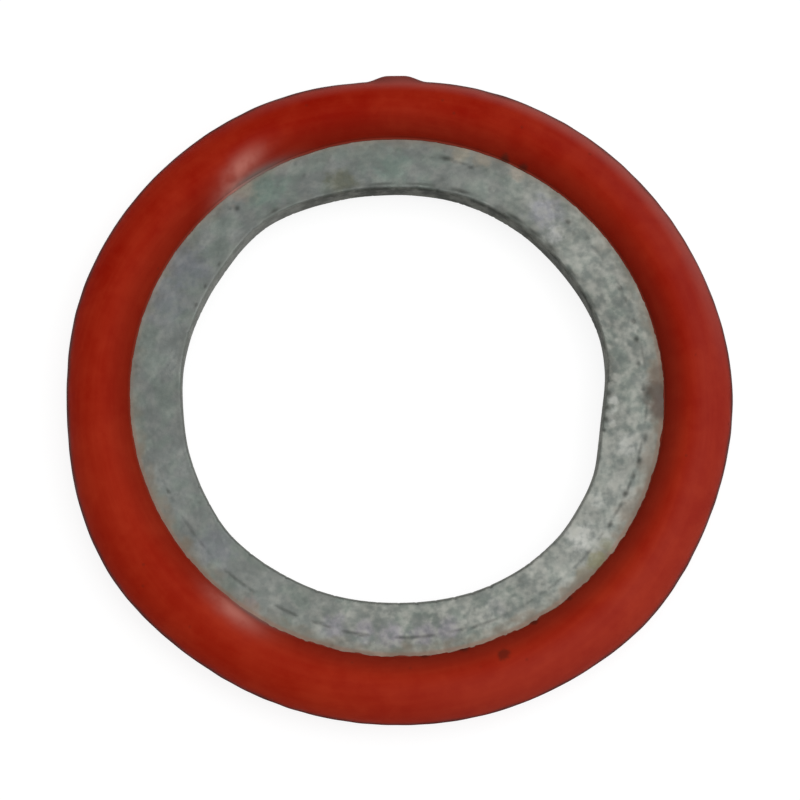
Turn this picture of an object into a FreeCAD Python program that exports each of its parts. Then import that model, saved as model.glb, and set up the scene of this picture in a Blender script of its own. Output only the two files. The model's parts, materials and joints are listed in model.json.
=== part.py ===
"""Hose gasket: a flat steel ring with a round red rubber bead moulded on its rim.

Frame: millimetres, +Z along the bore. The origin is the bore's centre on the
mid-plane, about which both faces are alike. The moulding nub points along +Y.
"""

import FreeCAD, Part
import math
import os

import Sketcher

# Driving sizes, in millimetres. Everything else follows from them.
SIZES = {
    # steel ring
    "bore_diameter": 42.0,
    "face_width": 5.0,  # bare steel, from the bore to the toe of the rubber
    "ring_thickness": 2.7,
    "ring_embed": 1.9,  # how far the steel runs on inside the rubber
    "bore_edge_chamfer": 0.3,
    # line that the mould's shut-off edge presses into each steel face
    "witness_inset": 1.85,  # from the toe of the rubber to the line's middle
    "witness_width": 0.35,
    "witness_depth": 0.12,
    # rubber bead
    "bead_diameter": 6.8,
    # nub that the mould's runner leaves on the outside
    "nub_base_width": 5.6,
    "nub_top_width": 3.3,
    "nub_height": 0.6,
    "nub_thickness": 3.4,
    "nub_edge_radius": 0.6,
    "nub_root_radius": 0.5,
}

# Where things lie, as formulas in the driving sizes. Radii are from the bore's axis
# and heights from the mid-plane.
BORE = "(sizes.bore_diameter / 2)"
TOE = f"({BORE} + sizes.face_width)"
RIM = f"({TOE} + sizes.ring_embed)"
WITNESS = f"({TOE} - sizes.witness_inset)"
FACE = "(sizes.ring_thickness / 2)"
BEAD_RADIUS = "(sizes.bead_diameter / 2)"
# The bead's round meets each steel face at the toe.
BEAD = f"({TOE} + sqrt({BEAD_RADIUS} ^ 2 - {FACE} ^ 2))"
OUTSIDE = f"({BEAD} + {BEAD_RADIUS})"
NUB_TOP = f"({OUTSIDE} + sizes.nub_height)"
# The nub's flanks run on, at the slope they have outside, to the bead's middle.
NUB_FLARE = "(sizes.nub_base_width - sizes.nub_top_width)"
NUB_ROOT_WIDTH = f"(sizes.nub_base_width + {NUB_FLARE} * {BEAD_RADIUS} / sizes.nub_height)"

# The sketcher's numbers for a curve's points and for a sketch's own axes.
START, END, CENTRE = range(1, 4)
X_AXIS = -1
Y_AXIS = X_AXIS - 1
ORIGIN = (X_AXIS, START)

FULL_TURN = 360.0
MATCH = 1e-4  # how near two lengths have to be to count as the same


def make_sheet(doc):
    """Gives each driving size a cell of its own, under its name."""
    sheet = doc.addObject("Spreadsheet::Sheet", "sizes")
    for row, (name, value) in enumerate(SIZES.items(), start=1):
        sheet.set(f"A{row}", name)
        sheet.set(f"B{row}", str(value))
        sheet.setAlias(f"B{row}", name)
    doc.recompute()


def start_body(doc, name):
    """An empty body, drawn in place, whose label names its file."""
    body = doc.addObject("PartDesign::Body", name)
    body.Label = name
    body.Placement = FreeCAD.Placement()
    return body


def origin_plane(body, role):
    """One of the body's own origin planes."""
    return next(plane for plane in body.Origin.OriginFeatures if plane.Role == role)


def start_sketch(body, name, role):
    """An empty sketch on one of the body's own origin planes."""
    sketch = body.newObject("Sketcher::SketchObject", name)
    sketch.AttachmentSupport = [(origin_plane(body, role), "")]
    sketch.MapMode = "FlatFace"
    return sketch


def number(item, formula):
    """What a formula in the driving sizes comes to."""
    return float(item.evalExpression(formula))


def line(start, end):
    """A straight sketch line between two flat points."""
    return Part.LineSegment(FreeCAD.Vector(*start, 0), FreeCAD.Vector(*end, 0))


def arc(centre, radius, start_angle, end_angle):
    """A sketch arc, drawn counter-clockwise between two angles in radians."""
    circle = Part.Circle(FreeCAD.Vector(*centre, 0), FreeCAD.Vector(0, 0, 1), radius)
    return Part.ArcOfCircle(circle, start_angle, end_angle)


def rule(sketch, *words):
    """Adds a geometric rule to the sketch."""
    sketch.addConstraint(Sketcher.Constraint(*words))


def dimension(sketch, name, kind, where, formula):
    """Adds a dimension to the sketch and binds it to the sheet."""
    index = sketch.addConstraint(Sketcher.Constraint(kind, *where, number(sketch, formula)))
    sketch.renameConstraint(index, name)
    sketch.setExpression(f"Constraints.{name}", formula)


def polygon(sketch, corners):
    """Closed run of straight lines through the corners; gives the lines' numbers."""
    following_corners = corners[1:] + corners[:1]
    sides = [sketch.addGeometry(line(*ends)) for ends in zip(corners, following_corners)]
    for side, following_side in zip(sides, sides[1:] + sides[:1]):
        rule(sketch, "Coincident", side, END, following_side, START)
    return sides


def revolve(body, kind, name, sketch):
    """Turns a section right round the bore's axis, to add it or to cut it."""
    feature = body.newObject(kind, name)
    feature.Profile = sketch
    feature.ReferenceAxis = (sketch, ["V_Axis"])
    feature.Angle = FULL_TURN
    return feature


def ease_edges(body, kind, name, base, is_wanted, size, formula):
    """Rounds or bevels those edges of the feature before that pass a test."""
    numbered = enumerate(base.Shape.Edges, start=1)
    eased = body.newObject(kind, name)
    eased.Base = (base, [f"Edge{count}" for count, edge in numbered if is_wanted(edge)])
    eased.setExpression(size, formula)
    return eased


def round_edges(body, name, base, is_wanted, formula):
    """Gives those edges that pass a test a fillet of that radius."""
    return ease_edges(body, "PartDesign::Fillet", name, base, is_wanted, "Radius", formula)


def bevel_edges(body, name, base, is_wanted, formula):
    """Gives those edges that pass a test a chamfer of that leg."""
    return ease_edges(body, "PartDesign::Chamfer", name, base, is_wanted, "Size", formula)


def ring_section(body):
    """Section of the steel: a rectangle astride the mid-plane."""
    sketch = start_sketch(body, "ring_section", "XZ_Plane")
    bore = number(sketch, BORE)
    rim = number(sketch, RIM)
    face = number(sketch, FACE)
    bottom, outer, top, inner = polygon(
        sketch, [(bore, -face), (rim, -face), (rim, face), (bore, face)]
    )
    rule(sketch, "Horizontal", bottom)
    rule(sketch, "Horizontal", top)
    rule(sketch, "Vertical", inner)
    rule(sketch, "Symmetric", outer, START, outer, END, X_AXIS)
    dimension(sketch, "bore", "DistanceX", (*ORIGIN, bottom, START), BORE)
    dimension(sketch, "rim", "DistanceX", (*ORIGIN, bottom, END), RIM)
    dimension(sketch, "thickness", "DistanceY", (outer, START, outer, END), "sizes.ring_thickness")
    return sketch


def witness_section(body):
    """Section of the shut-off line: a V that opens at the steel's upper face."""
    sketch = start_sketch(body, "witness_section", "XZ_Plane")
    middle = number(sketch, WITNESS)
    half_width = number(sketch, "sizes.witness_width / 2")
    face = number(sketch, FACE)
    bottom = number(sketch, f"{FACE} - sizes.witness_depth")
    down, up, lid = polygon(
        sketch, [(middle - half_width, face), (middle, bottom), (middle + half_width, face)]
    )
    rule(sketch, "Horizontal", lid)
    rule(sketch, "Equal", down, up)
    dimension(sketch, "middle", "DistanceX", (*ORIGIN, down, END), WITNESS)
    dimension(sketch, "face", "DistanceY", (*ORIGIN, lid, START), FACE)
    dimension(sketch, "width", "DistanceX", (lid, END, lid, START), "sizes.witness_width")
    dimension(sketch, "depth", "DistanceY", (down, END, lid, START), "sizes.witness_depth")
    return sketch


def make_steel_ring(doc):
    """Steel ring: blanked flat, its bore edges broken, a shut-off line on each face."""
    body = start_body(doc, "steel_ring")
    blank = revolve(body, "PartDesign::Revolution", "blank", ring_section(body))
    doc.recompute()
    bore = number(blank, BORE)

    def is_bore_edge(edge):
        """Whether an edge is one of the bore's two circles."""
        return isinstance(edge.Curve, Part.Circle) and abs(edge.Curve.Radius - bore) < MATCH

    bevel_edges(body, "bore_edges", blank, is_bore_edge, "sizes.bore_edge_chamfer")
    upper = revolve(body, "PartDesign::Groove", "upper_witness_line", witness_section(body))
    both = body.newObject("PartDesign::Mirrored", "witness_lines")
    both.Originals = [upper]
    both.MirrorPlane = (origin_plane(body, "XY_Plane"), [""])
    body.Tip = both
    return body


def bead_section(body):
    """Section of the rubber: a round bead whose slot grips the steel's rim."""
    sketch = start_sketch(body, "bead_section", "XZ_Plane")
    toe = number(sketch, TOE)
    rim = number(sketch, RIM)
    face = number(sketch, FACE)
    bead = number(sketch, BEAD)
    # The bead's centre sees the toe on the lower face at this angle past half a turn.
    toe_angle = math.atan2(face, bead - toe)
    dome = sketch.addGeometry(
        arc((bead, 0), number(sketch, BEAD_RADIUS), toe_angle - math.pi, math.pi - toe_angle)
    )
    slot_top = sketch.addGeometry(line((toe, face), (rim, face)))
    slot_end = sketch.addGeometry(line((rim, face), (rim, -face)))
    slot_bottom = sketch.addGeometry(line((rim, -face), (toe, -face)))
    rule(sketch, "Coincident", dome, END, slot_top, START)
    rule(sketch, "Coincident", slot_top, END, slot_end, START)
    rule(sketch, "Coincident", slot_end, END, slot_bottom, START)
    rule(sketch, "Coincident", slot_bottom, END, dome, START)
    rule(sketch, "Horizontal", slot_top)
    rule(sketch, "Horizontal", slot_bottom)
    rule(sketch, "Symmetric", slot_end, START, slot_end, END, X_AXIS)
    rule(sketch, "PointOnObject", dome, CENTRE, X_AXIS)
    dimension(sketch, "toe", "DistanceX", (*ORIGIN, slot_top, START), TOE)
    dimension(sketch, "rim", "DistanceX", (*ORIGIN, slot_top, END), RIM)
    dimension(sketch, "slot", "DistanceY", (slot_end, END, slot_end, START), "sizes.ring_thickness")
    dimension(sketch, "dome", "Radius", (dome,), BEAD_RADIUS)
    return sketch


def nub_plan(body):
    """Plan of the nub: a trapezium that stands on the middle of the bead's section."""
    sketch = start_sketch(body, "nub_plan", "XY_Plane")
    half_root = number(sketch, f"{NUB_ROOT_WIDTH} / 2")
    half_top = number(sketch, "sizes.nub_top_width / 2")
    root = number(sketch, BEAD)
    top = number(sketch, NUB_TOP)
    base, _, crown, _ = polygon(
        sketch, [(-half_root, root), (half_root, root), (half_top, top), (-half_top, top)]
    )
    rule(sketch, "Symmetric", base, START, base, END, Y_AXIS)
    rule(sketch, "Symmetric", crown, START, crown, END, Y_AXIS)
    dimension(sketch, "root_width", "DistanceX", (base, START, base, END), NUB_ROOT_WIDTH)
    dimension(sketch, "top_width", "DistanceX", (crown, END, crown, START), "sizes.nub_top_width")
    dimension(sketch, "root", "DistanceY", (*ORIGIN, base, START), BEAD)
    dimension(sketch, "top", "DistanceY", (*ORIGIN, crown, START), NUB_TOP)
    return sketch


def make_rubber_bead(doc):
    """Rubber bead: moulded round the steel's rim, with the runner's nub on its outside."""
    body = start_body(doc, "rubber_bead")
    revolve(body, "PartDesign::Revolution", "bead", bead_section(body))
    nub = body.newObject("PartDesign::Pad", "nub")
    nub.Profile = nub_plan(body)
    nub.Midplane = True
    nub.setExpression("Length", "sizes.nub_thickness")
    doc.recompute()
    bead = number(nub, BEAD)
    bead_radius = number(nub, BEAD_RADIUS)
    outside = number(nub, OUTSIDE)
    half_root = number(nub, f"{NUB_ROOT_WIDTH} / 2")

    def middle_of(edge):
        """The point halfway along an edge."""
        return edge.valueAt((edge.FirstParameter + edge.LastParameter) / 2)

    def is_nub_edge(edge):
        """Whether an edge lies within the nub's width, outside the bead's middle."""
        middle = middle_of(edge)
        return middle.y > bead and abs(middle.x) < half_root

    def is_nub_corner(edge):
        """Whether an edge of the nub reaches out past the bead."""
        reach = max(math.hypot(vertex.X, vertex.Y) for vertex in edge.Vertexes)
        return is_nub_edge(edge) and reach > outside + MATCH

    def is_nub_root(edge):
        """Whether an edge of the nub lies on the bead's round."""
        middle = middle_of(edge)
        from_core = math.hypot(math.hypot(middle.x, middle.y) - bead, middle.z)
        return is_nub_edge(edge) and abs(from_core - bead_radius) < MATCH

    corners = round_edges(body, "nub_corners", nub, is_nub_corner, "sizes.nub_edge_radius")
    doc.recompute()
    round_edges(body, "nub_root", corners, is_nub_root, "sizes.nub_root_radius")
    return body


def write_bodies(doc, bodies):
    """Stops at a failed feature or a bad solid, and otherwise writes each body."""
    for item in doc.Objects:
        if "Invalid" in item.State or "Error" in item.State:
            raise RuntimeError(f"{item.Label} failed: {item.State}")
    for body in bodies:
        if body.Shape.isNull() or not body.Shape.isValid():
            raise RuntimeError(f"{body.Label} has no valid solid")
    os.makedirs("parts", exist_ok=True)
    for body in bodies:
        body.Shape.exportStep(f"parts/{body.Label}.step")


def main():
    """Builds both pieces in one document and writes them."""
    doc = FreeCAD.newDocument("hose_gasket")
    make_sheet(doc)
    bodies = [make_steel_ring(doc), make_rubber_bead(doc)]
    doc.recompute()
    write_bodies(doc, bodies)


main()
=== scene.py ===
"""Looks of a hose gasket: a zinc-plated steel ring with a red rubber bead moulded on its rim.

Each of the two pieces is a ring-shaped skin: a closed section curve in radius and height, carried once
round the bore axis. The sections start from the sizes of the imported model, and whole-array functions of
turn (the angle round the bore) and place on the section add what use and moulding left on the real
thing: pits, a shut-off line and worn bore edges on the steel, a feathered foot, a parting line, a nub
and a slightly uneven outline on the rubber. All lengths are metres unless a name ends in _mm.
"""
import json
import logging
import math
from dataclasses import dataclass
from enum import Enum

import bpy
import numpy as np
from mathutils import Matrix, Vector


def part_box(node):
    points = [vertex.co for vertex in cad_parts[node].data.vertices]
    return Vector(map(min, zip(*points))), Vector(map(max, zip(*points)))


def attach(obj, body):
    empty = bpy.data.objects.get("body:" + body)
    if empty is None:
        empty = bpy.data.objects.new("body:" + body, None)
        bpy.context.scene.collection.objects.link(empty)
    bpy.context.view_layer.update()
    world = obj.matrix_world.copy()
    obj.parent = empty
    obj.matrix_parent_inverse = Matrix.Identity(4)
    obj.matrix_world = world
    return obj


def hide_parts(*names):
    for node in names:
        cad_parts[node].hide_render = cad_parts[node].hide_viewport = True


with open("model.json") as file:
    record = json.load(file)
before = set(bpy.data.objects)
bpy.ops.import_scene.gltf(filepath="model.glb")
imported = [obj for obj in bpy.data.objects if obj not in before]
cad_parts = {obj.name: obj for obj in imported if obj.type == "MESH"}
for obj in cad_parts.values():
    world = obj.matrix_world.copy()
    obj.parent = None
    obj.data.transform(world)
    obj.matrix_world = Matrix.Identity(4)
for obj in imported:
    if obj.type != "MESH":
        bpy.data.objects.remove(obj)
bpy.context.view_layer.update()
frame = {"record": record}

MM = 0.001
LOG = logging.getLogger("hose_gasket")

Colour = tuple[float, float, float, float]
Socket = bpy.types.NodeSocket


class Side(Enum):
    """The two faces of the ring, by the sign of their height."""

    UPPER = 1.0
    LOWER = -1.0


def rgb(red: float, green: float, blue: float) -> Colour:
    """Returns an opaque linear colour."""
    return (red, green, blue, 1.0)


SCUFFED = rgb(0.380, 0.385, 0.360)
BORE_EDGE_GLINT = rgb(0.400, 0.405, 0.380)
SOOTY = rgb(0.058, 0.062, 0.052)
TANNED = rgb(0.240, 0.205, 0.155)
BROWNED = rgb(0.135, 0.105, 0.078)
LILAC = rgb(0.215, 0.185, 0.235)
BLOTTED = rgb(0.055, 0.014, 0.008)
DINGY = rgb(0.060, 0.020, 0.012)


def bell(offset: np.ndarray, width: float) -> np.ndarray:
    """Returns exp(-(offset / width) squared), 1 at no offset and near 0 past twice the width."""
    return np.exp(-((offset / width) ** 2))


def smooth_step(value: np.ndarray, low: float, high: float) -> np.ndarray:
    """Returns 0 below low, 1 above high and 3 t^2 - 2 t^3 between, with t the share of the way."""
    share = np.clip((value - low) / (high - low), 0.0, 1.0)
    return share * share * (3.0 - 2.0 * share)


def turn_gap(turns: np.ndarray, centre_deg: float) -> np.ndarray:
    """Returns how far each turn lies from a centre, in radians from -pi to pi."""
    return (turns - math.radians(centre_deg) + math.pi) % (2.0 * math.pi) - math.pi


def waver(turns: np.ndarray, slowest: int, fastest: int, terms: int, seed: int) -> np.ndarray:
    """Seeded unevenness round the ring.

    The sum over terms of sin(n * turn + phase) / sqrt(terms / 2), with n a whole number of waves, so the
    pattern closes on itself and has a root mean square of 1.

    Args:
        turns: Angles round the bore.
        slowest: Fewest waves in a turn.
        fastest: Most waves in a turn.
        terms: Number of sines.
        seed: Seed of the draw.

    Returns:
        One value for each turn.
    """
    draw = np.random.default_rng(seed)
    waves = draw.integers(slowest, fastest + 1, terms)
    phases = draw.uniform(0.0, 2.0 * math.pi, terms)
    return np.sin(turns[..., None] * waves + phases).sum(-1) / math.sqrt(terms / 2.0)


def ripple(turns: np.ndarray, along: np.ndarray, finest: float, terms: int, seed: int) -> np.ndarray:
    """Seeded unevenness over a ring-shaped surface.

    The sum over terms of sin(n * turn + k * along + phase) / sqrt(terms / 2). The wave numbers n / reach
    and k are drawn evenly from a disc of radius 2 pi / finest, so the grain has no direction.

    Args:
        turns: Angles round the bore, as a column.
        along: Lengths across the surface, as a row.
        finest: Shortest wave.
        terms: Number of sines.
        seed: Seed of the draw.

    Returns:
        A grid of values with a root mean square of 1.
    """
    reach = 25.0 * MM
    draw = np.random.default_rng(seed)
    pull = np.sqrt(draw.uniform(0.05, 1.0, terms)) * 2.0 * math.pi / finest
    aim = draw.uniform(0.0, 2.0 * math.pi, terms)
    waves = np.round(pull * np.cos(aim) * reach)
    steps = pull * np.sin(aim)
    phases = draw.uniform(0.0, 2.0 * math.pi, terms)
    total = np.zeros(np.broadcast(turns, along).shape)
    for wave, step, phase in zip(waves, steps, phases):
        total += np.sin(turns * wave + along * step + phase)
    return total / math.sqrt(terms / 2.0)


def ring_mesh(name: str, radii: np.ndarray, heights: np.ndarray, turns: np.ndarray) -> bpy.types.Object:
    """Makes a closed ring-shaped piece.

    Point (i, j) is (R cos a, R sin a, H) with R = radii[i, j], H = heights[i, j] and a = turns[i]. The
    grid closes both round the bore and round the section, and a section that runs anticlockwise in
    radius and height gives faces that point outwards.

    Args:
        name: Name of the piece.
        radii: Distance from the bore axis, one row for each turn.
        heights: Height above the mid-plane, one row for each turn.
        turns: Angles round the bore.

    Returns:
        The new object, with its origin at the world origin.
    """
    around, along = radii.shape
    points = np.empty((around, along, 3))
    points[..., 0] = radii * np.cos(turns)[:, None]
    points[..., 1] = radii * np.sin(turns)[:, None]
    points[..., 2] = heights
    row = np.arange(around)[:, None] * along
    next_row = np.roll(np.arange(around), -1)[:, None] * along
    column = np.arange(along)[None, :]
    next_column = np.roll(np.arange(along), -1)[None, :]
    corners = (row + column, next_row + column, next_row + next_column, row + next_column)
    faces = np.stack(corners, axis=-1).reshape(-1, 4)
    mesh = bpy.data.meshes.new(name)
    mesh.vertices.add(around * along)
    mesh.vertices.foreach_set("co", points.astype(np.float32).ravel())
    mesh.loops.add(faces.size)
    mesh.loops.foreach_set("vertex_index", faces.astype(np.int32).ravel())
    mesh.polygons.add(len(faces))
    mesh.polygons.foreach_set("loop_start", np.arange(0, faces.size, 4, dtype=np.int32))
    mesh.update(calc_edges=True)
    mesh.shade_smooth()
    piece = bpy.data.objects.new(name, mesh)
    bpy.context.scene.collection.objects.link(piece)
    return piece


def mark_points(piece: bpy.types.Object, name: str, values: np.ndarray) -> None:
    """Stores one number at each point of a piece, for its material to read.

    Args:
        piece: The piece.
        name: Name of the attribute.
        values: Grid of numbers, in the order of the piece's points.
    """
    layer = piece.data.attributes.new(name, "FLOAT", "POINT")
    layer.data.foreach_set("value", values.astype(np.float32).ravel())


class Wiring:
    """Adds nodes to a node tree and joins them."""

    def __init__(self, tree: bpy.types.NodeTree) -> None:
        """Empties the tree and keeps it.

        Args:
            tree: Node tree of a material, a world or a group.
        """
        self.tree = tree
        tree.nodes.clear()

    def add(self, kind: str, feeds: dict | None = None, **settings: object) -> bpy.types.Node:
        """Adds a node.

        Args:
            kind: Type of the node, without the leading ShaderNode.
            feeds: A value or an output socket for each input, by its name or number.
            settings: Properties of the node.

        Returns:
            The new node.
        """
        node = self.tree.nodes.new("ShaderNode" + kind)
        for name, value in settings.items():
            setattr(node, name, value)
        for key, value in (feeds or {}).items():
            self.feed(node.inputs[key], value)
        return node

    def feed(self, socket: Socket, value: object) -> None:
        """Links an output socket to an input, or sets the input's own value."""
        if isinstance(value, Socket):
            self.tree.links.new(value, socket)
        else:
            socket.default_value = value

    def reckon(self, operation: str, first: object, second: object = 0.0) -> Socket:
        """Returns the result of one arithmetic operation on two numbers."""
        return self.add("Math", {0: first, 1: second}, operation=operation).outputs[0]

    def times(self, first: object, second: object) -> Socket:
        """Returns the product of two numbers."""
        return self.reckon("MULTIPLY", first, second)

    def plus(self, first: object, second: object) -> Socket:
        """Returns the sum of two numbers."""
        return self.reckon("ADD", first, second)

    def span(self, value: object, low: object, high: object, start: object = 0.0,
             end: object = 1.0) -> Socket:
        """Returns start where a value is at low, end where it is at high, and a smooth run between."""
        feeds = {0: value, 1: low, 2: high, 3: start, 4: end}
        return self.add("MapRange", feeds, interpolation_type="SMOOTHSTEP").outputs[0]

    def blend(self, share: object, first: object, second: object) -> Socket:
        """Returns the first colour where the share is 0 and the second where it is 1."""
        node = self.add("Mix", {0: share, 6: first, 7: second}, data_type="RGBA", clamp_factor=True)
        return node.outputs[2]

    def coat(self, under: object, tint: object, share: object, strength: object) -> Socket:
        """Returns a colour with a tint over it, as thick as the product of share and strength."""
        return self.blend(self.times(share, strength), under, tint)

    def noise(self, vector: object, scale: float, detail: float = 2.0, roughness: float = 0.5,
              distortion: float = 0.0) -> Socket:
        """Returns noise from 0 to 1, with scale waves to a metre."""
        feeds = {"Vector": vector, "Scale": scale, "Detail": detail, "Roughness": roughness,
                 "Distortion": distortion}
        return self.add("TexNoise", feeds).outputs[0]

    def group(self, tree: bpy.types.NodeTree, feeds: dict[str, object]) -> bpy.types.Node:
        """Places a node group.

        Args:
            tree: The group's node tree.
            feeds: A value or an output socket for each of its inputs, by name.

        Returns:
            The group node.
        """
        node = self.add("Group")
        node.node_tree = tree
        for name, value in feeds.items():
            self.feed(node.inputs[name], value)
        return node

    def reading(self, name: str) -> Socket:
        """Returns the number that the mesh stores at each point under a name."""
        return self.add("Attribute", attribute_name=name).outputs["Fac"]

    def place(self) -> Socket:
        """Returns the place on the object, in metres."""
        return self.add("TexCoord").outputs["Object"]

    def side(self, aim: Socket, towards_deg: float, low: float, high: float) -> Socket:
        """Works out how far a place lies on one side of the ring.

        Args:
            aim: Direction of the place from the bore axis.
            towards_deg: Turn at the middle of the side.
            low: Cosine of the angle from that turn at which the side fades out.
            high: Cosine at which it is full.

        Returns:
            1 on that side, 0 on the other and a smooth run between.
        """
        angle = math.radians(towards_deg)
        towards = (math.cos(angle), math.sin(angle), 0.0)
        dot = self.add("VectorMath", {0: aim, 1: towards}, operation="DOT_PRODUCT").outputs["Value"]
        return self.span(dot, low, high)


class GroupTree:
    """A shader node group while it is being made."""

    def __init__(self, name: str, takes: dict[str, object], gives: dict[str, str]) -> None:
        """Makes the group's sockets.

        Args:
            name: Name of the group.
            takes: Each input's name and own value; a tuple makes it a vector, a number makes it a number.
            gives: Each output's name, with its socket type after the leading NodeSocket.
        """
        self.tree = bpy.data.node_groups.new(name, "ShaderNodeTree")
        for label, value in takes.items():
            kind = "NodeSocketVector" if isinstance(value, tuple) else "NodeSocketFloat"
            socket = self.tree.interface.new_socket(label, in_out="INPUT", socket_type=kind)
            socket.default_value = value
        for label, kind in gives.items():
            self.tree.interface.new_socket(label, in_out="OUTPUT", socket_type="NodeSocket" + kind)
        self.wiring = Wiring(self.tree)
        self.entry = self.tree.nodes.new("NodeGroupInput").outputs
        self.leave = self.tree.nodes.new("NodeGroupOutput").inputs

    def give(self, label: str, socket: Socket) -> None:
        """Links a socket to one of the group's outputs."""
        self.tree.links.new(socket, self.leave[label])


def make_ring_place() -> bpy.types.NodeTree:
    """Makes the group that reads a place as the ring has it.

    Radius is the distance from the bore axis in millimetres, Aim the direction from the axis as a vector
    of length 1, and Swept a vector that changes slowly round the ring and quickly across it, so that
    noise on it comes out as streaks that follow the ring.
    """
    group = GroupTree("ring_place", {"Place": (0.0, 0.0, 0.0), "Stretch": 7.0},
                      {"Radius": "Float", "Aim": "Vector", "Swept": "Vector"})
    wiring = group.wiring
    flat = wiring.add("VectorMath", {0: group.entry["Place"], 1: (1.0, 1.0, 0.0)}, operation="MULTIPLY")
    length = wiring.add("VectorMath", {0: flat.outputs[0]}, operation="LENGTH").outputs["Value"]
    aim = wiring.add("VectorMath", {0: flat.outputs[0]}, operation="NORMALIZE").outputs[0]
    middle = 26.0 * MM
    slow = wiring.reckon("DIVIDE", middle, group.entry["Stretch"])
    round_ring = wiring.add("VectorMath", {0: aim, "Scale": slow}, operation="SCALE").outputs[0]
    height = wiring.add("SeparateXYZ", {0: group.entry["Place"]}).outputs[2]
    across = wiring.add("CombineXYZ", {0: length, 1: length, 2: height}).outputs[0]
    swept = wiring.add("VectorMath", {0: round_ring, 1: across}, operation="ADD").outputs[0]
    group.give("Radius", wiring.times(length, 1.0 / MM))
    group.give("Aim", aim)
    group.give("Swept", swept)
    return group.tree


def make_patch() -> bpy.types.NodeTree:
    """Makes the group that masks one soft, ragged patch round a centre in millimetres.

    The mask is 1 within the patch and falls to 0 round its edge, which noise pushes in and out.
    """
    group = GroupTree("patch", {"Place": (0.0, 0.0, 0.0), "Centre": (0.0, 0.0, 0.0), "Reach": 1.0,
                                "Ragged": 0.5}, {"Mask": "Float"})
    wiring = group.wiring
    scaled = wiring.add("VectorMath", {0: group.entry["Place"], "Scale": 1.0 / MM}, operation="SCALE")
    flat = wiring.add("VectorMath", {0: scaled.outputs[0], 1: (1.0, 1.0, 0.0)}, operation="MULTIPLY")
    gap = wiring.add("VectorMath", {0: flat.outputs[0], 1: group.entry["Centre"]}, operation="DISTANCE")
    share = wiring.reckon("DIVIDE", gap.outputs["Value"], group.entry["Reach"])
    cloud = wiring.reckon("SUBTRACT", wiring.noise(group.entry["Place"], 900.0, 4.0, 0.6), 0.5)
    push = wiring.times(cloud, wiring.times(group.entry["Ragged"], 4.0))
    group.give("Mask", wiring.span(wiring.plus(share, push), 1.25, 0.35))
    return group.tree


def make_specks() -> bpy.types.NodeTree:
    """Makes the group that masks small scattered specks.

    A cell pattern gives each cell a centre and a random number. A soft speck stands at the centre of each
    cell whose number is under Share, and fades out at Grain cells.
    """
    group = GroupTree("specks", {"Place": (0.0, 0.0, 0.0), "Cells": 600.0, "Share": 0.2, "Grain": 0.2},
                      {"Mask": "Float"})
    wiring = group.wiring
    cells = wiring.add("TexVoronoi", {"Vector": group.entry["Place"], "Scale": group.entry["Cells"]})
    number = wiring.add("SeparateColor", {0: cells.outputs["Color"]}).outputs[0]
    chosen = wiring.reckon("LESS_THAN", number, group.entry["Share"])
    dot = wiring.span(cells.outputs["Distance"], group.entry["Grain"], 0.0)
    group.give("Mask", wiring.times(dot, chosen))
    return group.tree


class Effects:
    """The node groups that more than one finish uses, each built once."""

    def __init__(self) -> None:
        """Builds the groups."""
        self.ring_place = make_ring_place()
        self.patch = make_patch()
        self.specks = make_specks()


@dataclass(frozen=True)
class Ground:
    """What a finish is worked out from.

    It holds the finish's node tree, the shared node groups, the place on the object and the outputs of
    the ring_place group for that place.
    """

    wiring: Wiring
    effects: Effects
    place: Socket
    ring: bpy.types.NodeOutputs

    @classmethod
    def lay(cls, material: bpy.types.Material, effects: Effects) -> "Ground":
        """Empties a material and puts the nodes for the place in it.

        Args:
            material: The material.
            effects: The shared node groups.

        Returns:
            The material's ground.
        """
        material.use_nodes = True
        wiring = Wiring(material.node_tree)
        place = wiring.place()
        ring = wiring.group(effects.ring_place, {"Place": place}).outputs
        return cls(wiring, effects, place, ring)


@dataclass(frozen=True)
class ColourPatch:
    """A soft patch of another colour on a ring-shaped piece."""

    turn_deg: float
    radius_mm: float
    reach_mm: float
    tint: Colour
    strength: float
    ragged: float = 0.5

    def centre(self) -> tuple[float, float, float]:
        """Returns the patch's centre in millimetres, level with the mid-plane."""
        angle = math.radians(self.turn_deg)
        return (self.radius_mm * math.cos(angle), self.radius_mm * math.sin(angle), 0.0)

    def lay(self, ground: Ground, under: object) -> Socket:
        """Lays the patch over a colour.

        Args:
            ground: What the finish is worked out from.
            under: Colour under the patch.

        Returns:
            The colour with the patch on it.
        """
        wiring = ground.wiring
        feeds = {"Place": ground.place, "Centre": self.centre(), "Reach": self.reach_mm,
                 "Ragged": self.ragged}
        mask = wiring.group(ground.effects.patch, feeds).outputs["Mask"]
        return wiring.coat(under, self.tint, mask, self.strength)


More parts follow.
